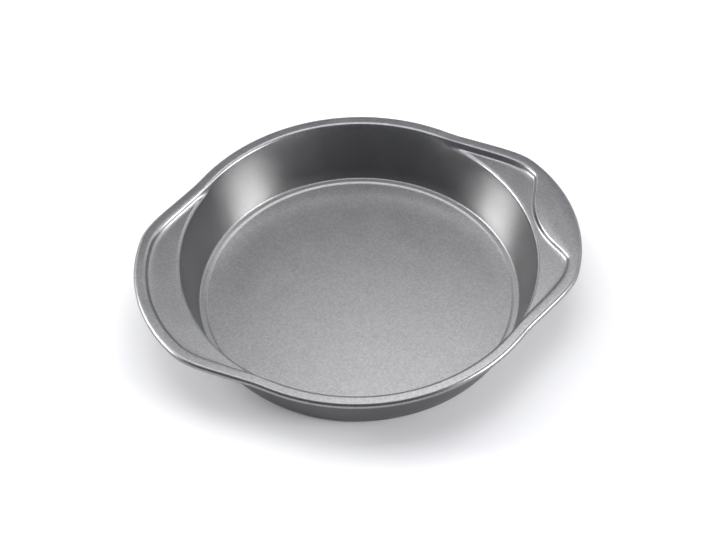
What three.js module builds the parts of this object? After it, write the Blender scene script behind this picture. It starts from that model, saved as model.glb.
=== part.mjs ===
// A round baking tin: one sheet-steel pressing with two handles, a wire in its rolled edge and a
// non-stick coat on each face. Millimetres, +Z up. The origin is on the table, under the centre,
// and the handles lie along X, with the one that has a thumb pad at +X.
import * as THREE from 'three';

const radians = THREE.MathUtils.degToRad;
const UP = new THREE.Vector3(0, 0, 1);

// Bowl
const MOUTH_RADIUS = 113.85;
const RIM_HEIGHT = 40.3;
const WALL_DRAFT = radians(16.7);
const FLOOR_BEND_RADIUS = 1.1;
const PANEL_DROP = 0.5;
const PANEL_STEP_WIDTH = 1.2;
const PANEL_FOOT_ROUNDING = 0.8;
const PANEL_HEAD_ROUNDING = 0.2;
const RING_WIDTH = 3.9;

// Sheet, coats and wire
const SHEET_THICKNESS = 0.6;
const COAT_THICKNESS = 0.035;
const WIRE_DIAMETER = 2.6;
const WIRE_CLEARANCE = 0.25;

// Rim, from the mouth out to the edge of its roll
const RIM_WIDTH = 7.8;
const EDGE_ROUNDING = 1.8;
const ROLL_SWEEP = radians(270);

// Handles: a round end, two straight flanks, and blends where these meet
const HANDLE_LENGTH = 20.6;
const HANDLE_END_RADIUS = 105;
const HANDLE_CORNER_BLEND = 5.1;
const FLANK_ANGLE = radians(54.2);
const FLANK_INSET = 1.4;
const FLANK_ROOT_BLEND = 1;

// Recess pressed into each handle, up to a raised border
const RECESS_DEPTH = 3.3;
const RECESS_BORDER = 8.1;
const RECESS_END_RADIUS = 95;
const RECESS_CORNER_BLEND = 5;
const RECESS_FLANK_ANGLE = radians(53);
const RECESS_FLANK_BORDER = 7.5;
const RECESS_STEP_WIDTH = 1.7;
const RECESS_STEP_ROUNDING = 0.8;

// Thumb pad: the border swells inwards on one handle, and leaves a channel beside the wall
const THUMB_PAD_RADIUS = 55;
const THUMB_CHANNEL = 3.2;
const THUMB_CORNER_BLEND = 10;

// Finishes
const SHEET_STEEL = { color: 0xb9bbbd, roughness: 0.35, metalness: 1 };
const DRAWN_WIRE = { color: 0xa9abad, roughness: 0.4, metalness: 1 };
const INNER_NONSTICK = { color: 0x77797b, roughness: 0.42, metalness: 0.7 };
const OUTER_NONSTICK = { color: 0x6c6e71, roughness: 0.45, metalness: 0.7 };

// Facets
const THUMB_COLUMN = radians(3);
const HANDLE_COLUMN = radians(6);
const RIM_COLUMN = radians(7.5);
const HANDLE_SECTOR = radians(60);
const THUMB_SECTOR = radians(30);
const ROLL_FACETS = 6;
const WIRE_SIDES = 8;
const LEAST_FACET = 0.4;
const ANGLE_NUDGE = 1e-4;
const RADIUS_NUDGE = 1e-3;
const SEARCH_STEPS = 40;

// Sizes that follow from these
const FULL_TURN = 2 * Math.PI;
const QUARTER_TURN = Math.PI / 2;
const WIRE_RADIUS = WIRE_DIAMETER / 2;
const ROLL_RADIUS = WIRE_RADIUS + WIRE_CLEARANCE + SHEET_THICKNESS + 2 * COAT_THICKNESS;
const RIM_RADIUS = MOUTH_RADIUS + RIM_WIDTH;
const HANDLE_TIP = RIM_RADIUS + HANDLE_LENGTH;
const HANDLE_FLANK = RIM_RADIUS - FLANK_INSET;
const RECESS_TIP = HANDLE_TIP - RECESS_BORDER;
const RECESS_FLANK = HANDLE_FLANK - RECESS_FLANK_BORDER;
const THUMB_NOSE = MOUTH_RADIUS + THUMB_CHANNEL;
const PANEL_LEVEL = SHEET_THICKNESS + COAT_THICKNESS;
const RING_LEVEL = PANEL_LEVEL + PANEL_DROP;
const RIM_LEVEL = RIM_HEIGHT - COAT_THICKNESS;
const WALL_RISE = 1 / Math.tan(WALL_DRAFT);
const WALL_FOOT = MOUTH_RADIUS - (RIM_LEVEL - RING_LEVEL) / WALL_RISE;
const WALL_TURN = QUARTER_TURN - WALL_DRAFT;
const BEND_RUN = FLOOR_BEND_RADIUS * Math.tan(WALL_TURN / 2);
const BEND_START = WALL_FOOT - BEND_RUN;
const BEND_END = WALL_FOOT + BEND_RUN * Math.cos(WALL_TURN);
const EDGE_DOWN_WALL = EDGE_ROUNDING * Math.tan(WALL_DRAFT);
const EDGE_OVER_RIM = EDGE_ROUNDING / Math.cos(WALL_DRAFT);
const HALF_STEP = 1 / 2;
const PANEL_RADIUS = WALL_FOOT - RING_WIDTH;
const PANEL_FOOT = PANEL_RADIUS - PANEL_STEP_WIDTH * HALF_STEP - PANEL_FOOT_ROUNDING;
const PANEL_HEAD = PANEL_RADIUS + PANEL_STEP_WIDTH * HALF_STEP + PANEL_HEAD_ROUNDING;
const RECESS_STEP_REACH = RECESS_STEP_WIDTH * HALF_STEP + RECESS_STEP_ROUNDING;

function smoothMin(a, b, blend) {
  const share = Math.max(blend - Math.abs(a - b), 0) / blend;
  return Math.min(a, b) - (share * share * blend) / 4;
}

function smoothMax(a, b, blend) {
  return -smoothMin(-a, -b, blend);
}

// Rises from 0 to 1 across a step of the given width, with its foot and its head rounded.
function softStep(distance, width, footRounding, headRounding) {
  const risen = smoothMax(distance + width * HALF_STEP, 0, footRounding);
  return smoothMin(risen, width, headRounding) / width;
}

// Angle from the nearer end of the handle axis.
function angleFromHandle(angle) {
  return Math.acos(Math.min(1, Math.abs(Math.cos(angle))));
}

// Distance from the tin's axis to an arc that bulges out to tip.
function arcOut(angle, tip, radius) {
  const centre = tip - radius;
  const miss = centre * Math.sin(angle);
  return centre * Math.cos(angle) + Math.sqrt(Math.max(0, radius ** 2 - miss ** 2));
}

// Distance from the tin's axis to an arc that bulges in to nose.
function arcIn(angle, nose, radius) {
  const centre = nose + radius;
  const miss = centre * Math.sin(angle);
  return miss < radius ? centre * Math.cos(angle) - Math.sqrt(radius ** 2 - miss ** 2) : Infinity;
}

// Distance from the tin's axis to a straight flank, which goes on round the axis past its square angle.
function flankOut(angle, square, distance) {
  return distance / Math.cos(Math.min(angle, square) - square);
}

// Outer edge of the rim and handles, as a distance from the axis.
function outlineRadius(angle) {
  const turn = angleFromHandle(angle);
  const end = arcOut(turn, HANDLE_TIP, HANDLE_END_RADIUS);
  const flank = flankOut(turn, FLANK_ANGLE, HANDLE_FLANK);
  return smoothMax(smoothMin(end, flank, HANDLE_CORNER_BLEND), RIM_RADIUS, FLANK_ROOT_BLEND);
}

// Middle of the step between recess and border, as a distance from the axis.
function recessRadius(angle) {
  const turn = angleFromHandle(angle);
  const end = arcOut(turn, RECESS_TIP, RECESS_END_RADIUS);
  const flank = flankOut(turn, RECESS_FLANK_ANGLE, RECESS_FLANK);
  const border = smoothMin(end, flank, RECESS_CORNER_BLEND);
  const pad = Math.cos(angle) > 0 ? arcIn(turn, THUMB_NOSE, THUMB_PAD_RADIUS) : Infinity;
  return pad === Infinity ? border : smoothMin(border, pad, THUMB_CORNER_BLEND);
}

// How much longer the step is along a ray from the axis than square to itself.
function recessSlant(angle) {
  const rise = recessRadius(angle + ANGLE_NUDGE) - recessRadius(angle - ANGLE_NUDGE);
  return Math.hypot(1, rise / (2 * ANGLE_NUDGE) / recessRadius(angle));
}

// Height of the floor, its low step and the bend into the wall.
function floorHeight(radius) {
  if (radius > BEND_END) return RING_LEVEL + (radius - WALL_FOOT) * WALL_RISE;
  const intoBend = Math.max(0, radius - BEND_START);
  const bend = FLOOR_BEND_RADIUS - Math.sqrt(FLOOR_BEND_RADIUS ** 2 - intoBend ** 2);
  const past = radius - PANEL_RADIUS;
  const step = softStep(past, PANEL_STEP_WIDTH, PANEL_FOOT_ROUNDING, PANEL_HEAD_ROUNDING);
  return PANEL_LEVEL + PANEL_DROP * step + bend;
}

// Height of the rim, dropping into the handles' recesses.
function rimHeight(radius, angle) {
  const across = (radius - recessRadius(angle)) / recessSlant(angle);
  const step = softStep(across, RECESS_STEP_WIDTH, RECESS_STEP_ROUNDING, RECESS_STEP_ROUNDING);
  return RIM_LEVEL - RECESS_DEPTH * (1 - step);
}

// Height of the steel's upper face: the lower of bowl and rim, with a rounded edge between them.
function sheetHeight(radius, angle) {
  const bowl = floorHeight(radius);
  const rim = rimHeight(radius, angle);
  let low = Math.min(bowl, rim) - EDGE_ROUNDING;
  let high = Math.min(bowl, rim);
  for (let step = 0; step < SEARCH_STEPS; step += 1) {
    const height = (low + high) / 2;
    const outside = smoothMax((height - bowl) * Math.sin(WALL_DRAFT), height - rim, EDGE_ROUNDING);
    if (outside > 0) high = height;
    else low = height;
  }
  return (low + high) / 2;
}

// Radius at which the wall meets the rim or a recess.
function edgeRadius(angle) {
  let low = WALL_FOOT;
  let high = RIM_RADIUS;
  for (let step = 0; step < SEARCH_STEPS; step += 1) {
    const radius = (low + high) / 2;
    if (floorHeight(radius) > rimHeight(radius, angle)) high = radius;
    else low = radius;
  }
  return (low + high) / 2;
}

// Radii of the facet corners on one ray, from the floor panel to the border of the handle.
function rayRadii(angle) {
  const edge = edgeRadius(angle);
  const step = recessRadius(angle);
  const reach = RECESS_STEP_REACH * recessSlant(angle);
  const edgeEnd = edge + EDGE_OVER_RIM;
  const stepFoot = Math.max(step - reach, edgeEnd + LEAST_FACET);
  const stepHead = Math.max(step + reach, stepFoot + LEAST_FACET);
  return [
    PANEL_FOOT,
    PANEL_RADIUS,
    PANEL_HEAD,
    BEND_START,
    BEND_END,
    edge - EDGE_DOWN_WALL,
    edge,
    (edge + edgeEnd) / 2,
    edgeEnd,
    stepFoot,
    stepHead,
  ];
}

// A point of the steel's upper face, moved square to it by offset.
function sheetPoint(radius, angle, offset) {
  const alongRay = sheetHeight(radius + RADIUS_NUDGE, angle) - sheetHeight(radius - RADIUS_NUDGE, angle);
  const around = sheetHeight(radius, angle + ANGLE_NUDGE) - sheetHeight(radius, angle - ANGLE_NUDGE);
  const square = new THREE.Vector3(
    -alongRay / (2 * RADIUS_NUDGE),
    -around / (2 * ANGLE_NUDGE) / radius,
    1,
  );
  square.normalize().applyAxisAngle(UP, angle);
  const point = new THREE.Vector3(radius, 0, sheetHeight(radius, angle)).applyAxisAngle(UP, angle);
  return point.addScaledVector(square, offset);
}

// Middle of the rolled edge on one ray, and the level direction that points straight out of it.
function rollFrame(angle) {
  const radius = outlineRadius(angle);
  const change = outlineRadius(angle + ANGLE_NUDGE) - outlineRadius(angle - ANGLE_NUDGE);
  const growth = change / (2 * ANGLE_NUDGE);
  const outward = new THREE.Vector3(radius, -growth, 0).normalize().applyAxisAngle(UP, angle);
  const middle = new THREE.Vector3(radius, 0, RIM_HEIGHT - ROLL_RADIUS).applyAxisAngle(UP, angle);
  middle.addScaledVector(outward, -ROLL_RADIUS);
  return { middle, outward };
}

// A point round the middle of the rolled edge: turn is 0 straight out and a quarter turn on top.
function rollPoint(angle, turn, radius) {
  const { middle, outward } = rollFrame(angle);
  const point = middle.addScaledVector(outward, radius * Math.cos(turn));
  point.z += radius * Math.sin(turn);
  return point;
}

// Rays from the axis, closest together across the thumb pad.
function rayAngles() {
  const sectors = [
    [-THUMB_SECTOR, THUMB_SECTOR, THUMB_COLUMN],
    [THUMB_SECTOR, HANDLE_SECTOR, HANDLE_COLUMN],
    [HANDLE_SECTOR, Math.PI - HANDLE_SECTOR, RIM_COLUMN],
    [Math.PI - HANDLE_SECTOR, Math.PI + HANDLE_SECTOR, HANDLE_COLUMN],
    [Math.PI + HANDLE_SECTOR, FULL_TURN - HANDLE_SECTOR, RIM_COLUMN],
    [FULL_TURN - HANDLE_SECTOR, FULL_TURN - THUMB_SECTOR, HANDLE_COLUMN],
  ];
  return sectors.flatMap(([start, end, column]) => {
    const count = Math.round((end - start) / column);
    return Array.from({ length: count }, (_, index) => start + ((end - start) * index) / count);
  });
}

const RAYS = rayAngles();

// One face of the sheet: its middle, then rings of points from the floor panel to the end of the roll.
function sheetFace(offset) {
  const columns = RAYS.map((angle) => {
    const pressed = rayRadii(angle).map((radius) => sheetPoint(radius, angle, offset));
    const rolled = Array.from({ length: ROLL_FACETS + 1 }, (_, index) => {
      const turn = QUARTER_TURN - (ROLL_SWEEP * index) / ROLL_FACETS;
      return rollPoint(angle, turn, ROLL_RADIUS - COAT_THICKNESS + offset);
    });
    return [...pressed, ...rolled];
  });
  return { middle: new THREE.Vector3(0, 0, PANEL_LEVEL + offset), columns };
}

function pushQuad(triangles, a, b, c, d) {
  triangles.push(a, b, c, a, c, d);
}

function closedGeometry(points, triangles) {
  const geometry = new THREE.BufferGeometry().setFromPoints(points);
  geometry.setIndex(triangles);
  geometry.computeVertexNormals();
  return geometry;
}

// A layer of the sheet between two faces that lie at different offsets from the steel's upper face.
function sheetLayer(upperOffset, lowerOffset) {
  const upper = sheetFace(upperOffset);
  const lower = sheetFace(lowerOffset);
  const rays = RAYS.length;
  const rings = upper.columns[0].length;
  const faceSize = 1 + rays * rings;
  const points = [upper.middle, ...upper.columns.flat(), lower.middle, ...lower.columns.flat()];
  const above = (ray, ring) => 1 + (ray % rays) * rings + ring;
  const below = (ray, ring) => faceSize + above(ray, ring);
  const triangles = [];
  for (let ray = 0; ray < rays; ray += 1) {
    const beside = ray + 1;
    triangles.push(0, above(ray, 0), above(beside, 0));
    triangles.push(faceSize, below(beside, 0), below(ray, 0));
    for (let ring = 0; ring + 1 < rings; ring += 1) {
      const next = ring + 1;
      pushQuad(triangles, above(ray, ring), above(ray, next), above(beside, next), above(beside, ring));
      pushQuad(triangles, below(ray, ring), below(beside, ring), below(beside, next), below(ray, next));
    }
    const last = rings - 1;
    pushQuad(triangles, above(ray, last), below(ray, last), below(beside, last), above(beside, last));
  }
  return closedGeometry(points, triangles);
}

// The wire lies along the middle of the rolled edge, as one closed loop.
function wireLoop() {
  const rays = RAYS.length;
  const sideTurns = Array.from({ length: WIRE_SIDES }, (_, side) => (FULL_TURN * side) / WIRE_SIDES);
  const points = RAYS.flatMap((angle) => sideTurns.map((turn) => rollPoint(angle, turn, WIRE_RADIUS)));
  const at = (ray, side) => (ray % rays) * WIRE_SIDES + (side % WIRE_SIDES);
  const triangles = [];
  for (let ray = 0; ray < rays; ray += 1) {
    for (let side = 0; side < WIRE_SIDES; side += 1) {
      pushQuad(triangles, at(ray, side), at(ray + 1, side), at(ray + 1, side + 1), at(ray, side + 1));
    }
  }
  return closedGeometry(points, triangles);
}

function piece(name, geometry, finish) {
  const mesh = new THREE.Mesh(geometry, new THREE.MeshStandardMaterial(finish));
  mesh.name = name;
  return mesh;
}

const COATED_UNDERSIDE = -SHEET_THICKNESS - COAT_THICKNESS;

const tin = new THREE.Group();
tin.add(
  piece('pressed_shell', sheetLayer(0, -SHEET_THICKNESS), SHEET_STEEL),
  piece('rim_wire', wireLoop(), DRAWN_WIRE),
  piece('inner_coating', sheetLayer(COAT_THICKNESS, 0), INNER_NONSTICK),
  piece('outer_coating', sheetLayer(-SHEET_THICKNESS, COATED_UNDERSIDE), OUTER_NONSTICK),
);

export default tin;
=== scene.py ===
"""Looks of a round baking tin: one coated steel pressing with two handles and a wired edge."""
import math

import bpy
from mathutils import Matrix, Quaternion, Vector


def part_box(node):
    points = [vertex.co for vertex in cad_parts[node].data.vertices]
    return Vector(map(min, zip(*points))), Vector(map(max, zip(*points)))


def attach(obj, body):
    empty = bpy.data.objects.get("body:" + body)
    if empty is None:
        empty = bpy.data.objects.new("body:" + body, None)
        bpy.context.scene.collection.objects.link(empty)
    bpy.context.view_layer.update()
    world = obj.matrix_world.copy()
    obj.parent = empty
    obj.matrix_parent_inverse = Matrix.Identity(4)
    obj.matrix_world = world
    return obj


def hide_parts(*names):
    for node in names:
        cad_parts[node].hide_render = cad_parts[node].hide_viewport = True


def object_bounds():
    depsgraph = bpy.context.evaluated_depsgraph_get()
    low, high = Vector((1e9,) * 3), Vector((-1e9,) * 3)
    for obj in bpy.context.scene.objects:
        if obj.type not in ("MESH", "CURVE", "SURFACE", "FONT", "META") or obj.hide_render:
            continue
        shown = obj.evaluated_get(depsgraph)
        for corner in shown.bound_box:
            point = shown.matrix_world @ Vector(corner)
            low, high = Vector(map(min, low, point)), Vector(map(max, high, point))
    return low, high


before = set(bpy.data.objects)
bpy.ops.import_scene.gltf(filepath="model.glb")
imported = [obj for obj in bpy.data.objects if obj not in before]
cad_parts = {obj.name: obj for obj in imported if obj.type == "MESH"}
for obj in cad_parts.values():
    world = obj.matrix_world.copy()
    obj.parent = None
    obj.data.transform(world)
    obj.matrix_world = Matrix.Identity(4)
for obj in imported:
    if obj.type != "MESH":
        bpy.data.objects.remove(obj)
CAD_LOW, CAD_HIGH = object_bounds()
WIRE_LOW, WIRE_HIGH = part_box("rim_wire")
MM = 0.001

# Sheet, coats and wire, from the frame
COAT_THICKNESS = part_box("pressed_shell")[0].z
SHEET_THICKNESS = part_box("inner_coating")[0].z - COAT_THICKNESS
WIRE_RADIUS = (WIRE_HIGH.z - WIRE_LOW.z) / 2
RIM_HEIGHT = CAD_HIGH.z
RIM_RADIUS = CAD_HIGH.y
HANDLE_TIP = CAD_HIGH.x
ROLL_RADIUS = RIM_HEIGHT - (WIRE_HIGH.z + WIRE_LOW.z) / 2
ROLL_SWEEP = math.radians(270)

# Bowl
MOUTH_RADIUS = 113.85 * MM
WALL_DRAFT = math.radians(16.7)
FLOOR_BEND_RADIUS = 1.1 * MM
PANEL_DROP = 0.5 * MM
PANEL_STEP_WIDTH = 1.2 * MM
PANEL_FOOT_ROUNDING = 0.8 * MM
PANEL_HEAD_ROUNDING = 0.2 * MM
RING_WIDTH = 3.9 * MM
EDGE_ROUNDING = 1.8 * MM

# Handles: a round end, two straight flanks, and blends where these meet
HANDLE_END_RADIUS = 105.0 * MM
HANDLE_CORNER_BLEND = 5.1 * MM
FLANK_ANGLE = math.radians(54.2)
FLANK_INSET = 1.4 * MM
FLANK_ROOT_BLEND = 1.0 * MM

# Recess pressed into each handle, and the thumb pad that swells into one of them
RECESS_DEPTH = 3.3 * MM
RECESS_BORDER = 8.1 * MM
RECESS_END_RADIUS = 95.0 * MM
RECESS_CORNER_BLEND = 5.0 * MM
RECESS_FLANK_ANGLE = math.radians(53.0)
RECESS_FLANK_BORDER = 7.5 * MM
RECESS_STEP_WIDTH = 1.7 * MM
RECESS_STEP_ROUNDING = 0.8 * MM
THUMB_PAD_RADIUS = 55.0 * MM
THUMB_CHANNEL = 3.2 * MM
THUMB_CORNER_BLEND = 10.0 * MM

# Mesh rows along the section, from the middle of the floor to the end of the roll
PRESSED_ROWS = {
    "floor": 6,
    "panel_step": 12,
    "ring": 2,
    "bend": 8,
    "wall": 6,
    "edge_down_wall": 6,
    "edge_over_rim": 8,
    "recess": 5,
    "recess_step": 14,
}
BORDER_ROWS = 3
ROLL_ROWS = 28

# Other counts and small steps of the mesh
RAYS = 480
WIRE_SIDES = 24
LEAST_ROW = 0.4 * MM
SEAM_GAP = 0.001 * MM
ANGLE_NUDGE = 0.001
RADIUS_NUDGE = 0.02 * MM
EDGE_TRIES = 4

# Sizes that follow from these
PANEL_LEVEL = SHEET_THICKNESS + COAT_THICKNESS
RING_LEVEL = PANEL_LEVEL + PANEL_DROP
RIM_LEVEL = RIM_HEIGHT - COAT_THICKNESS
WALL_RISE = 1 / math.tan(WALL_DRAFT)
WALL_FOOT = MOUTH_RADIUS - (RIM_LEVEL - RING_LEVEL) / WALL_RISE
WALL_TURN = math.pi / 2 - WALL_DRAFT
BEND_RUN = FLOOR_BEND_RADIUS * math.tan(WALL_TURN / 2)
PANEL_RADIUS = WALL_FOOT - RING_WIDTH
HANDLE_FLANK = RIM_RADIUS - FLANK_INSET
UNDERSIDE = -SHEET_THICKNESS
COATED_UNDERSIDE = UNDERSIDE - COAT_THICKNESS
BORDER_START = sum(PRESSED_ROWS.values())
ROLL_START = BORDER_START + BORDER_ROWS
FACE_ROWS = ROLL_START + ROLL_ROWS

# Node inputs: what each rule is given besides the place on the tin
OUTLINE_SIZES = {
    "rim_radius": RIM_RADIUS,
    "handle_tip": HANDLE_TIP,
    "handle_end_radius": HANDLE_END_RADIUS,
    "handle_corner_blend": HANDLE_CORNER_BLEND,
    "flank_angle": FLANK_ANGLE,
    "handle_flank": HANDLE_FLANK,
    "flank_root_blend": FLANK_ROOT_BLEND,
}
ROLL_SIZES = OUTLINE_SIZES | {"roll_radius": ROLL_RADIUS, "rim_height": RIM_HEIGHT}
RECESS_SIZES = {
    "recess_tip": HANDLE_TIP - RECESS_BORDER,
    "recess_end_radius": RECESS_END_RADIUS,
    "recess_corner_blend": RECESS_CORNER_BLEND,
    "recess_flank_angle": RECESS_FLANK_ANGLE,
    "recess_flank": HANDLE_FLANK - RECESS_FLANK_BORDER,
    "thumb_nose": MOUTH_RADIUS + THUMB_CHANNEL,
    "thumb_pad_radius": THUMB_PAD_RADIUS,
    "thumb_corner_blend": THUMB_CORNER_BLEND,
}
RIM_SIZES = {
    "rim_level": RIM_LEVEL,
    "recess_depth": RECESS_DEPTH,
    "recess_step_width": RECESS_STEP_WIDTH,
    "recess_step_rounding": RECESS_STEP_ROUNDING,
}
BOWL_SIZES = {
    "panel_level": PANEL_LEVEL,
    "panel_drop": PANEL_DROP,
    "panel_radius": PANEL_RADIUS,
    "panel_step_width": PANEL_STEP_WIDTH,
    "panel_foot_rounding": PANEL_FOOT_ROUNDING,
    "panel_head_rounding": PANEL_HEAD_ROUNDING,
    "bend_radius": FLOOR_BEND_RADIUS,
    "bend_start": WALL_FOOT - BEND_RUN,
    "bend_end": WALL_FOOT + BEND_RUN * math.cos(WALL_TURN),
    "ring_level": RING_LEVEL,
    "wall_foot": WALL_FOOT,
    "wall_rise": WALL_RISE,
}
EDGE_SIZES = {"wall_lean": math.sin(WALL_DRAFT), "edge_rounding": EDGE_ROUNDING}
LAYER_SIZES = ROLL_SIZES | RECESS_SIZES | RIM_SIZES | BOWL_SIZES | EDGE_SIZES | {
    "edge_down_wall": EDGE_ROUNDING * math.tan(WALL_DRAFT),
    "edge_over_rim": EDGE_ROUNDING / math.cos(WALL_DRAFT),
    "roll_sweep": ROLL_SWEEP,
    "coat_thickness": COAT_THICKNESS,
}

# Sockets that hold anything but a plain number
SOCKET_KINDS = {
    "rays": "NodeSocketInt",
    "sides": "NodeSocketInt",
    "finish": "NodeSocketMaterial",
    "geometry": "NodeSocketGeometry",
    "place": "NodeSocketVector",
    "color": "NodeSocketColor",
}


class Field:
    """A value that varies over a mesh. It is a socket of a node tree, and formulas on it add nodes."""

    def __init__(self, socket):
        self.socket = socket
        self.tree = socket.id_data

    def __add__(self, other):
        return math_node("ADD", self, other)

    def __sub__(self, other):
        return math_node("SUBTRACT", self, other)

    def __rsub__(self, other):
        return math_node("SUBTRACT", other, self)

    def __mul__(self, other):
        return math_node("MULTIPLY", self, other)

    def __truediv__(self, other):
        return math_node("DIVIDE", self, other)

    def __rtruediv__(self, other):
        return math_node("DIVIDE", other, self)

    def __neg__(self):
        return math_node("MULTIPLY", self, -1)

    def __abs__(self):
        return math_node("ABSOLUTE", self)

    def __gt__(self, other):
        return math_node("GREATER_THAN", self, other)

    def __lt__(self, other):
        return math_node("LESS_THAN", self, other)

    __radd__ = __add__
    __rmul__ = __mul__


def feed(value, socket):
    """Links a field to a socket, or sets a plain value on it."""
    if isinstance(value, Field):
        value.tree.links.new(value.socket, socket)
    else:
        socket.default_value = value


def add_node(tree, kind, given, output=0):
    node = tree.nodes.new(kind)
    for name, value in given.items():
        feed(value, node.inputs[name])
    return Field(node.outputs[output])


def math_node(operation, *values):
    tree = next(value.tree for value in values if isinstance(value, Field))
    node = tree.nodes.new("ShaderNodeMath")
    node.operation = operation
    for value, socket in zip(values, node.inputs):
        feed(value, socket)
    return Field(node.outputs[0])


def lower(a, b):
    return math_node("MINIMUM", a, b)


def higher(a, b):
    return math_node("MAXIMUM", a, b)


def root(a):
    return math_node("SQRT", higher(a, 0))


def sine(a):
    return math_node("SINE", a)


def cosine(a):
    return math_node("COSINE", a)


def hypotenuse(a, b):
    return root(a * a + b * b)


def clamp(a):
    return higher(lower(a, 1), 0)


def choose(condition, yes, no):
    node = condition.tree.nodes.new("GeometryNodeSwitch")
    node.input_type = "FLOAT"
    feed(condition, node.inputs["Switch"])
    feed(yes, node.inputs["True"])
    feed(no, node.inputs["False"])
    return Field(node.outputs[0])


def blend_swell(a, b, blend):
    """How far a rounded minimum or maximum lies from the sharp one."""
    share = higher(blend - abs(a - b), 0) / blend
    return share * share * blend / 4


def smooth_min(a, b, blend):
    return lower(a, b) - blend_swell(a, b, blend)


def smooth_max(a, b, blend):
    return higher(a, b) + blend_swell(a, b, blend)


def soft_step(distance, width, foot_rounding, head_rounding):
    """Rises from 0 to 1 across a step of that width, with its foot and its head rounded."""
    risen = smooth_max(distance + width / 2, 0, foot_rounding)
    return smooth_min(risen, width, head_rounding) / width


def title(word):
    return word.replace("_", " ").title()


class Rule:
    """A node group that works out part of the tin's shape or finish. Its inputs are read as attributes."""

    def __init__(self, name, inputs, purpose="Geometry"):
        self.tree = bpy.data.node_groups.new(name, purpose + "NodeTree")
        self.purpose = purpose
        self.identifiers = {word: self.add_socket(word, "INPUT").identifier for word in inputs}
        self.entry = self.tree.nodes.new("NodeGroupInput")

    def __getattr__(self, word):
        return Field(self.entry.outputs[title(word)])

    def add_socket(self, word, side):
        kind = SOCKET_KINDS.get(word, "NodeSocketFloat")
        return self.tree.interface.new_socket(title(word), in_out=side, socket_type=kind)

    def give(self, **fields):
        """Ends the group, with these fields as its outputs."""
        for word in fields:
            self.add_socket(word, "OUTPUT")
        leave = self.tree.nodes.new("NodeGroupOutput")
        for word, field in fields.items():
            feed(field, leave.inputs[title(word)])
        return self

    def use(self, caller, **given):
        """Places the group in another one. An input that isn't given is the caller's own of that name."""
        node = caller.tree.nodes.new(self.purpose + "NodeGroup")
        node.node_tree = self.tree
        for word in self.identifiers:
            feed(given[word] if word in given else getattr(caller, word), node.inputs[title(word)])
        found = [Field(socket) for socket in node.outputs]
        return found if len(found) > 1 else found[0]

    def node(self, kind, given, output=0):
        """Adds a node, with values for its named inputs, and gives one of its outputs."""
        return add_node(self.tree, kind, given, output)


def turn_from_handle(angle):
    """Angle from the nearer end of the handle axis."""
    return abs(angle - math_node("ROUND", angle / math.pi) * math.pi)


def arc_out(turn, tip, radius):
    """Distance from the tin's axis to an arc that bulges out to tip."""
    centre = tip - radius
    miss = centre * sine(turn)
    return centre * cosine(turn) + root(radius * radius - miss * miss)


def flank_out(turn, square, distance):
    """Distance from the axis to a straight flank, which goes on round the axis past its square angle."""
    return distance / cosine(lower(turn, square) - square)


def growth_round(shape, rule):
    """How fast a shape's distance from the axis grows with the angle."""
    ahead = shape.use(rule, angle=rule.angle + ANGLE_NUDGE)
    behind = shape.use(rule, angle=rule.angle - ANGLE_NUDGE)
    return (ahead - behind) / (2 * ANGLE_NUDGE)


def outline_rule():
    """Distance from the axis to the outer edge of the rim and handles."""
    rule = Rule("tin_outline", ["angle", *OUTLINE_SIZES])
    turn = turn_from_handle(rule.angle)
    end = arc_out(turn, rule.handle_tip, rule.handle_end_radius)
    flank = flank_out(turn, rule.flank_angle, rule.handle_flank)
    handle = smooth_min(end, flank, rule.handle_corner_blend)
    return rule.give(radius=smooth_max(handle, rule.rim_radius, rule.flank_root_blend))


def roll_rule(outline):
    """Middle of the rolled edge and the way straight out of it, each along a ray and aside from it."""
    rule = Rule("tin_roll", ["angle", *ROLL_SIZES])
    radius = outline.use(rule)
    growth = growth_round(outline, rule)
    length = hypotenuse(radius, growth)
    out = radius / length
    aside = -growth / length
    return rule.give(
        middle=radius - out * rule.roll_radius,
        middle_aside=-aside * rule.roll_radius,
        out=out,
        aside=aside,
    )


def recess_rule():
    """Distance from the axis to the middle of the step between a handle's recess and its border."""
    rule = Rule("tin_recess", ["angle", *RECESS_SIZES])
    turn = turn_from_handle(rule.angle)
    end = arc_out(turn, rule.recess_tip, rule.recess_end_radius)
    flank = flank_out(turn, rule.recess_flank_angle, rule.recess_flank)
    border = smooth_min(end, flank, rule.recess_corner_blend)
    centre = rule.thumb_nose + rule.thumb_pad_radius
    miss = centre * sine(turn)
    pad = centre * cosine(turn) - root(rule.thumb_pad_radius * rule.thumb_pad_radius - miss * miss)
    meets_pad = (miss < rule.thumb_pad_radius) * (cosine(rule.angle) > 0)
    padded = smooth_min(border, pad, rule.thumb_corner_blend)
    return rule.give(radius=choose(meets_pad, padded, border))


def recess_step_rule(recess):
    """The recess's step, and how much longer it is along a ray than square to itself."""
    rule = Rule("tin_recess_step", ["angle", *RECESS_SIZES])
    radius = recess.use(rule)
    slope = growth_round(recess, rule) / radius
    return rule.give(radius=radius, slant=root(slope * slope + 1))


def rim_rule():
    """Height of the rim, dropping into the handles' recesses."""
    rule = Rule("tin_rim", ["radius", "recess", "slant", *RIM_SIZES])
    across = (rule.radius - rule.recess) / rule.slant
    rounding = rule.recess_step_rounding
    raised = soft_step(across, rule.recess_step_width, rounding, rounding)
    return rule.give(height=rule.rim_level - rule.recess_depth * (1 - raised))


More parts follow.
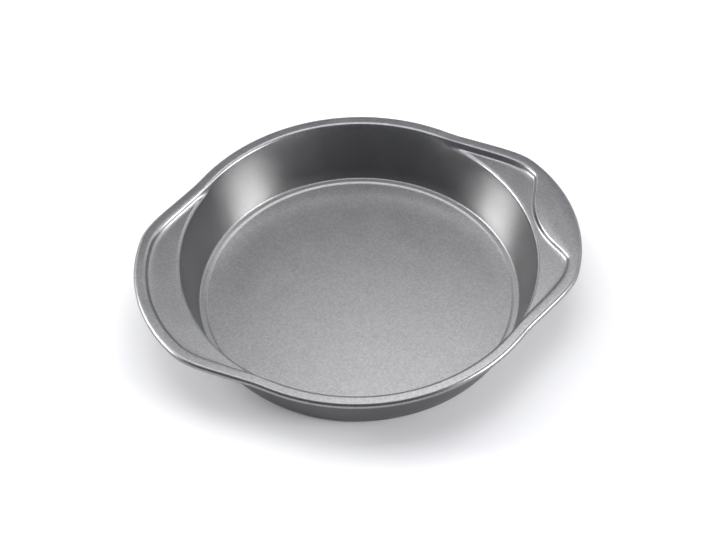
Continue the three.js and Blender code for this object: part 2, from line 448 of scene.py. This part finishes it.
def bowl_rule():
    """Height of the floor, its low step, the bend and the wall."""
    rule = Rule("tin_bowl", ["radius", *BOWL_SIZES])
    past = rule.radius - rule.panel_radius
    step = soft_step(past, rule.panel_step_width, rule.panel_foot_rounding, rule.panel_head_rounding)
    into_bend = higher(rule.radius - rule.bend_start, 0)
    bend = rule.bend_radius - root(rule.bend_radius * rule.bend_radius - into_bend * into_bend)
    floor = rule.panel_level + rule.panel_drop * step + bend
    wall = rule.ring_level + (rule.radius - rule.wall_foot) * rule.wall_rise
    return rule.give(height=choose(rule.radius > rule.bend_end, wall, floor))


def sheet_rule(rim, bowl):
    """Height of the steel's upper face: the lower of bowl and rim, with a rounded edge between them."""
    inputs = RIM_SIZES | BOWL_SIZES | EDGE_SIZES
    rule = Rule("tin_sheet", ["radius", "recess", "slant", *inputs])
    rim_height = rim.use(rule)
    bowl_height = bowl.use(rule)
    lean = rule.wall_lean
    rounding = rule.edge_rounding
    # The edge is where a smooth maximum of the distances above wall and rim is nought, a quadratic.
    past_wall = lean * (rim_height - bowl_height)
    reach = higher(rounding + past_wall, 0)
    pull = rounding * (1 + lean) - past_wall * (1 - lean)
    narrow = (1 - lean) * reach
    dip = reach * reach / (pull + root(pull * pull - narrow * narrow))
    on_wall = past_wall > lean * rounding
    return rule.give(height=choose(on_wall, bowl_height, rim_height - dip))


def edge_rule(rim):
    """Distance from the axis to the edge where the wall meets the rim or a recess."""
    wall = ["ring_level", "wall_foot", "wall_rise"]
    rule = Rule("tin_edge", ["recess", "slant", *RIM_SIZES, *wall])
    height = rule.rim_level
    for _ in range(EDGE_TRIES):
        radius = rule.wall_foot + (height - rule.ring_level) / rule.wall_rise
        height = rim.use(rule, radius=radius)
    return rule.give(radius=rule.wall_foot + (height - rule.ring_level) / rule.wall_rise)


def section_radius(rule, along, edge, recess, slant):
    """Distance from the axis of each row of the section's pressed part."""
    half_panel_step = rule.panel_step_width / 2
    step_reach = (rule.recess_step_width / 2 + rule.recess_step_rounding) * slant
    edge_end = edge + rule.edge_over_rim
    step_foot = higher(recess - step_reach, edge_end + LEAST_ROW)
    ends = {
        "floor": rule.panel_radius - half_panel_step - rule.panel_foot_rounding,
        "panel_step": rule.panel_radius + half_panel_step + rule.panel_head_rounding,
        "ring": rule.bend_start,
        "bend": rule.bend_end,
        "wall": edge - rule.edge_down_wall,
        "edge_down_wall": edge,
        "edge_over_rim": edge_end,
        "recess": step_foot,
        "recess_step": higher(recess + step_reach, step_foot + LEAST_ROW),
    }
    row = 0
    radius = start = along * 0
    for stretch, rows in PRESSED_ROWS.items():
        end = ends[stretch]
        radius = radius + (end - start) * clamp((along - row) / rows)
        row += rows
        start = end
    return radius


def layer_tree(roll):
    """A layer of the sheet between two faces, at different offsets from the steel's upper face."""
    recess_step = recess_step_rule(recess_rule())
    rim = rim_rule()
    sheet = sheet_rule(rim, bowl_rule())
    edge_of = edge_rule(rim)
    rule = Rule("tin_layer", [*LAYER_SIZES, "rays", "upper_offset", "lower_offset", "finish"])

    # The grid's rows go out over the upper face and back under the lower one, and its columns go round.
    columns = rule.rays + 1
    index = rule.node("GeometryNodeInputIndex", {})
    row = math_node("FLOOR", index / columns)
    angle = (index - row * columns) / rule.rays * (2 * math.pi) - math.pi
    turning_back = row > FACE_ROWS
    along = choose(turning_back, 2 * FACE_ROWS + 1 - row, row)
    offset = choose(turning_back, rule.lower_offset, rule.upper_offset)

    # Pressed part of the section, moved square to the sheet.
    recess, slant = recess_step.use(rule, angle=angle)
    ahead = recess_step.use(rule, angle=angle + ANGLE_NUDGE)
    behind = recess_step.use(rule, angle=angle - ANGLE_NUDGE)
    edge = edge_of.use(rule, recess=recess, slant=slant)
    radius = section_radius(rule, along, edge, recess, slant)

    def height(at_radius, step):
        return sheet.use(rule, radius=at_radius, recess=step[0], slant=step[1])

    here = (recess, slant)
    further = height(radius + RADIUS_NUDGE, here)
    nearer = height(radius - RADIUS_NUDGE, here)
    rise_out = (further - nearer) / (2 * RADIUS_NUDGE)
    rise_round = (height(radius, ahead) - height(radius, behind)) / (2 * ANGLE_NUDGE)
    rise_aside = rise_round / higher(radius, RADIUS_NUDGE)
    shift = offset / root(rise_out * rise_out + rise_aside * rise_aside + 1)
    pressed = (radius - rise_out * shift, -rise_aside * shift, height(radius, here) + shift)

    # Rolled part of the section.
    middle, middle_aside, out, aside = roll.use(rule, angle=angle)
    roll_share = clamp((along - ROLL_START) / ROLL_ROWS)
    turn = math.pi / 2 - rule.roll_sweep * roll_share
    roll_radius = rule.roll_radius - rule.coat_thickness + offset
    level = roll_radius * cosine(turn)
    rolled = (
        middle + out * level,
        middle_aside + aside * level,
        rule.rim_height - rule.roll_radius + roll_radius * sine(turn),
    )

    border_share = clamp((along - BORDER_START) / BORDER_ROWS)
    far, beside, up = (a + (b - a) * border_share for a, b in zip(pressed, rolled))
    place = rule.node("ShaderNodeCombineXYZ", {
        "X": far * cosine(angle) - beside * sine(angle),
        "Y": far * sine(angle) + beside * cosine(angle),
        "Z": up,
    })
    grid = rule.node("GeometryNodeMeshGrid", {"Vertices X": 2 * FACE_ROWS + 2, "Vertices Y": columns})
    placed = rule.node("GeometryNodeSetPosition", {"Geometry": grid, "Position": place})
    return finish_tree(rule, placed)


def wire_tree(roll):
    """The wire, swept round the middle of the rolled edge."""
    rule = Rule("tin_wire", [*ROLL_SIZES, "wire_radius", "rays", "sides", "finish"])
    angle = rule.node("GeometryNodeInputIndex", {}) / rule.rays * (2 * math.pi) - math.pi
    middle, middle_aside, _, _ = roll.use(rule, angle=angle)
    place = rule.node("ShaderNodeCombineXYZ", {
        "X": middle * cosine(angle) - middle_aside * sine(angle),
        "Y": middle * sine(angle) + middle_aside * cosine(angle),
        "Z": rule.rim_height - rule.roll_radius,
    })
    loop = rule.node("GeometryNodeCurvePrimitiveCircle", {"Resolution": rule.rays})
    path = rule.node("GeometryNodeSetPosition", {"Geometry": loop, "Position": place})
    profile = rule.node("GeometryNodeCurvePrimitiveCircle", {
        "Resolution": rule.sides,
        "Radius": rule.wire_radius,
    })
    swept = rule.node("GeometryNodeCurveToMesh", {"Curve": path, "Profile Curve": profile})
    return finish_tree(rule, swept)


def finish_tree(rule, geometry):
    """Closes the seam, smooths the shading and sets the finish."""
    merged = rule.node("GeometryNodeMergeByDistance", {"Geometry": geometry, "Distance": SEAM_GAP})
    smooth = rule.node("GeometryNodeSetShadeSmooth", {0: merged})
    real = rule.node("GeometryNodeRealizeInstances", {"Geometry": smooth})
    finished = rule.node("GeometryNodeSetMaterial", {"Geometry": real, "Material": rule.finish})
    return rule.give(geometry=finished)


def make_piece(name, rule, inputs, node):
    """Runs a tree and keeps its result as a plain mesh that stands for a node of the frame."""
    piece = bpy.data.objects.new(name, bpy.data.meshes.new(name))
    bpy.context.scene.collection.objects.link(piece)
    modifier = piece.modifiers.new("shape", "NODES")
    modifier.node_group = rule.tree
    for word, value in inputs.items():
        modifier[rule.identifiers[word]] = value
    bpy.context.view_layer.update()
    evaluated = piece.evaluated_get(bpy.context.evaluated_depsgraph_get())
    mesh = bpy.data.meshes.new_from_object(evaluated)
    piece.modifiers.clear()
    piece.data = mesh
    mesh.name = name
    mesh.materials.clear()
    mesh.materials.append(inputs["finish"])
    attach(piece, "root")
    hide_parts(node)


# Finishes: the middle of Blender's noise, and how finely each grain is broken up
NOISE_MIDDLE = 0.5
FLECK_DETAIL = 1
CLOUD_DETAIL = 3
PEBBLE_DETAIL = 1
LINE_DETAIL = 2


def noise(rule, place, size, detail):
    """Smooth random values about nought, with patches of about that size."""
    given = {"Vector": place, "Scale": 1 / size, "Detail": detail}
    return rule.node("ShaderNodeTexNoise", given) - NOISE_MIDDLE


def shade(rule, color, tone):
    """A colour made lighter or darker by a factor."""
    node = rule.tree.nodes.new("ShaderNodeVectorMath")
    node.operation = "SCALE"
    feed(color, node.inputs[0])
    feed(tone, node.inputs["Scale"])
    return Field(node.outputs[0])


def coat_grain():
    """Metallic coat: fine flecks, which drawing evens out on the wall, faint clouds and a pebbled level."""
    tones = ["fleck_size", "fleck_contrast", "cloud_size", "cloud_contrast"]
    wall = ["wall_foot", "wall_top", "wall_fade", "wall_evenness"]
    sizes = [*tones, *wall, "pebble_size", "satin", "satin_spread"]
    rule = Rule("coat_grain", ["place", "color", *sizes], "Shader")
    height = rule.node("ShaderNodeSeparateXYZ", {"Vector": rule.place}, "Z")
    below_top = clamp((rule.wall_top - height) / rule.wall_fade)
    on_wall = clamp((height - rule.wall_foot) / rule.wall_fade) * below_top
    fleck = noise(rule, rule.place, rule.fleck_size, FLECK_DETAIL) * (1 - on_wall * rule.wall_evenness)
    cloud = noise(rule, rule.place, rule.cloud_size, CLOUD_DETAIL)
    pebble = noise(rule, rule.place, rule.pebble_size, PEBBLE_DETAIL)
    tone = 1 + fleck * rule.fleck_contrast + cloud * rule.cloud_contrast
    return rule.give(
        color=shade(rule, rule.color, tone),
        roughness=rule.satin + cloud * rule.satin_spread,
        level=pebble,
    )


def drawn_lines():
    """Fine lines that run round the tin's axis, as rolling, shearing and drawing leave on steel."""
    sizes = ["line_width", "line_length", "contrast", "polish", "polish_spread"]
    rule = Rule("drawn_lines", ["place", "color", *sizes], "Shader")
    parts = rule.tree.nodes.new("ShaderNodeSeparateXYZ")
    feed(rule.place, parts.inputs[0])
    x, y, z = (Field(socket) for socket in parts.outputs)
    far = hypotenuse(x, y)
    run = abs(math_node("ARCTAN2", y, x)) * far * rule.line_width / rule.line_length
    stretched = rule.node("ShaderNodeCombineXYZ", {"X": run, "Y": far, "Z": z})
    line = noise(rule, stretched, rule.line_width, LINE_DETAIL)
    return rule.give(
        color=shade(rule, rule.color, 1 + line * rule.contrast),
        roughness=rule.polish + line * rule.polish_spread,
        level=line,
    )


def metal_finish(name, grain, values, relief):
    """A metal whose colour, roughness and relief come from a grain group."""
    material = bpy.data.materials.new(name)
    material.use_nodes = True
    tree = material.node_tree
    shader = tree.nodes["Principled BSDF"]
    shader.inputs["Metallic"].default_value = 1
    group = tree.nodes.new("ShaderNodeGroup")
    group.node_tree = grain.tree
    feed(add_node(tree, "ShaderNodeTexCoord", {}, "Object"), group.inputs["Place"])
    for word, value in values.items():
        feed(value, group.inputs[title(word)])
    bump = add_node(tree, "ShaderNodeBump", {"Distance": relief, "Height": Field(group.outputs["Level"])})
    feed(Field(group.outputs["Color"]), shader.inputs["Base Color"])
    feed(Field(group.outputs["Roughness"]), shader.inputs["Roughness"])
    feed(bump, shader.inputs["Normal"])
    return material


COAT_GRAIN = coat_grain()
DRAWN_LINES = drawn_lines()
INNER_COAT = {
    "color": (0.262, 0.262, 0.263, 1),
    "fleck_size": 1.2 * MM,
    "fleck_contrast": 0.6,
    "cloud_size": 18 * MM,
    "cloud_contrast": 0.08,
    "wall_foot": RING_LEVEL + FLOOR_BEND_RADIUS,
    "wall_top": RIM_HEIGHT - RECESS_DEPTH,
    "wall_fade": 2 * MM,
    "wall_evenness": 0.75,
    "pebble_size": 2.5 * MM,
    "satin": 0.3,
    "satin_spread": 0.1,
}
# Outer coat colour, far darker than the inner coat's: only a small part is the coat's own tone, the rest is
# painted shade for the shaded floor that the outside wall reflects
OUTER_COAT_PAINTED_SHADE = INNER_COAT | {"color": (0.15, 0.15, 0.151, 1), "satin": 0.33}
SHEET_EDGE = {
    "color": (0.56, 0.57, 0.58, 1),
    "line_width": 0.08 * MM,
    "line_length": 2.5 * MM,
    "contrast": 0.7,
    "polish": 0.32,
    "polish_spread": 0.3,
}
BARE_WIRE = SHEET_EDGE | {"color": (0.5, 0.51, 0.52, 1), "line_width": 0.12 * MM, "line_length": 12 * MM}
COAT_RELIEF = 0.0015 * MM
STEEL_RELIEF = 0.008 * MM

inner_finish = metal_finish("satin_inner_coat", COAT_GRAIN, INNER_COAT, COAT_RELIEF)
# Outer coat finish, whose colour carries that painted shade
outer_finish_painted_shade = metal_finish("outer_coat_painted_shade", COAT_GRAIN, OUTER_COAT_PAINTED_SHADE, COAT_RELIEF)
steel_finish = metal_finish("cut_sheet_edge", DRAWN_LINES, SHEET_EDGE, STEEL_RELIEF)
wire_finish = metal_finish("drawn_wire", DRAWN_LINES, BARE_WIRE, STEEL_RELIEF)

ROLL = roll_rule(outline_rule())
LAYER = layer_tree(ROLL)
WIRE = wire_tree(ROLL)


def make_layer(name, upper, lower, finish, node):
    inputs = LAYER_SIZES | {"rays": RAYS, "upper_offset": upper, "lower_offset": lower, "finish": finish}
    make_piece(name, LAYER, inputs, node)


def make_wire(name, finish, node):
    inputs = ROLL_SIZES | {"wire_radius": WIRE_RADIUS, "rays": RAYS, "sides": WIRE_SIDES, "finish": finish}
    make_piece(name, WIRE, inputs, node)


make_layer("steel_sheet", 0.0, UNDERSIDE, steel_finish, "pressed_shell")
make_layer("inner_coat", COAT_THICKNESS, 0.0, inner_finish, "inner_coating")
make_layer("outer_coat", UNDERSIDE, COATED_UNDERSIDE, outer_finish_painted_shade, "outer_coating")
make_wire("edge_wire", wire_finish, "rim_wire")


# Camera, with its lens and sensor in millimetres
CAMERA_AIM = Vector((0.7, 4.8, 20.0)) * MM
CAMERA_AZIMUTH = math.radians(-13.2)
CAMERA_ELEVATION = math.radians(48.83)
CAMERA_DISTANCE = 1938.6 * MM
CAMERA_ROLL = math.radians(-1.27)
CAMERA_LENS = 153.48
SENSOR_WIDTH = 36.0

# Paper floor and room
FLOOR_HALF = 6.0
PAPER_COLOR = (0.8, 0.8, 0.8, 1)
PAPER_ROUGHNESS = 0.9
ROOM_LIGHT = (0.187, 0.19, 0.234, 1)

# Softboxes: degrees round from the camera and up, metres away, width and height, and watts
SOFTBOXES = {
    "left_softbox": (262, 26, 1.2, (0.5, 0.5), 10.8),
    "right_softbox": (70, 23, 1.2, (0.5, 0.5), 11.6),
    "left_panel": (250, 28, 1.3, (2.0, 0.9), 8.4),
    "right_panel": (105, 28, 1.3, (2.0, 0.9), 6.5),
    "rear_strip": (161, 59.5, 1.0, (0.58, 0.28), 1.7),
    "overhead_softbox": (180, 86, 1.0, (0.9, 0.52), 3.55),
    "rear_left_strip": (229, 58, 1.0, (0.5, 0.25), 1.1),
    "rear_panel": (180, 22, 1.3, (1.6, 0.4), 2.4),
}


def direction(azimuth, elevation):
    """Unit vector from the tin towards a place round it. Azimuth 0 is in front, at -Y, and 90 is at +X."""
    level = math.cos(elevation)
    return Vector((math.sin(azimuth) * level, -math.cos(azimuth) * level, math.sin(elevation)))


def make_camera():
    lens = bpy.data.cameras.new("camera")
    lens.sensor_fit = "HORIZONTAL"
    lens.sensor_width = SENSOR_WIDTH
    lens.lens = CAMERA_LENS
    camera = bpy.data.objects.new("camera", lens)
    bpy.context.scene.collection.objects.link(camera)
    back = direction(CAMERA_AZIMUTH, CAMERA_ELEVATION)
    camera.location = CAMERA_AIM + back * CAMERA_DISTANCE
    camera.rotation_mode = "QUATERNION"
    upright = (-back).to_track_quat("-Z", "Y")
    camera.rotation_quaternion = upright @ Quaternion((0, 0, 1), CAMERA_ROLL)
    bpy.context.scene.camera = camera


def floor_finish():
    """Matt pale paper."""
    material = bpy.data.materials.new("pale_floor")
    material.use_nodes = True
    shader = material.node_tree.nodes["Principled BSDF"]
    shader.inputs["Base Color"].default_value = PAPER_COLOR
    shader.inputs["Roughness"].default_value = PAPER_ROUGHNESS
    return material


def make_floor():
    corners = [(-1, -1), (1, -1), (1, 1), (-1, 1)]
    mesh = bpy.data.meshes.new("floor")
    mesh.from_pydata([(x * FLOOR_HALF, y * FLOOR_HALF, 0) for x, y in corners], [], [(0, 1, 2, 3)])
    mesh.materials.append(floor_finish())
    floor = bpy.data.objects.new("floor", mesh)
    bpy.context.scene.collection.objects.link(floor)


def make_softbox(name, azimuth, elevation, distance, size, power):
    """A softbox that faces the tin. Its azimuth is from the camera's, with 90 to the right."""
    light = bpy.data.lights.new(name, "AREA")
    light.shape = "RECTANGLE"
    light.size, light.size_y = size
    light.energy = power
    box = bpy.data.objects.new(name, light)
    bpy.context.scene.collection.objects.link(box)
    toward = direction(CAMERA_AZIMUTH + math.radians(azimuth), math.radians(elevation))
    box.location = CAMERA_AIM + toward * distance
    box.rotation_mode = "QUATERNION"
    box.rotation_quaternion = toward.to_track_quat("Z", "Y")
    box.visible_camera = False


def make_world():
    world = bpy.data.worlds.new("studio")
    world.use_nodes = True
    world.node_tree.nodes["Background"].inputs["Color"].default_value = ROOM_LIGHT
    bpy.context.scene.world = world


make_camera()
make_floor()
make_world()
for box_name, placing in SOFTBOXES.items():
    make_softbox(box_name, *placing)
bpy.context.scene.view_settings.view_transform = "Standard"
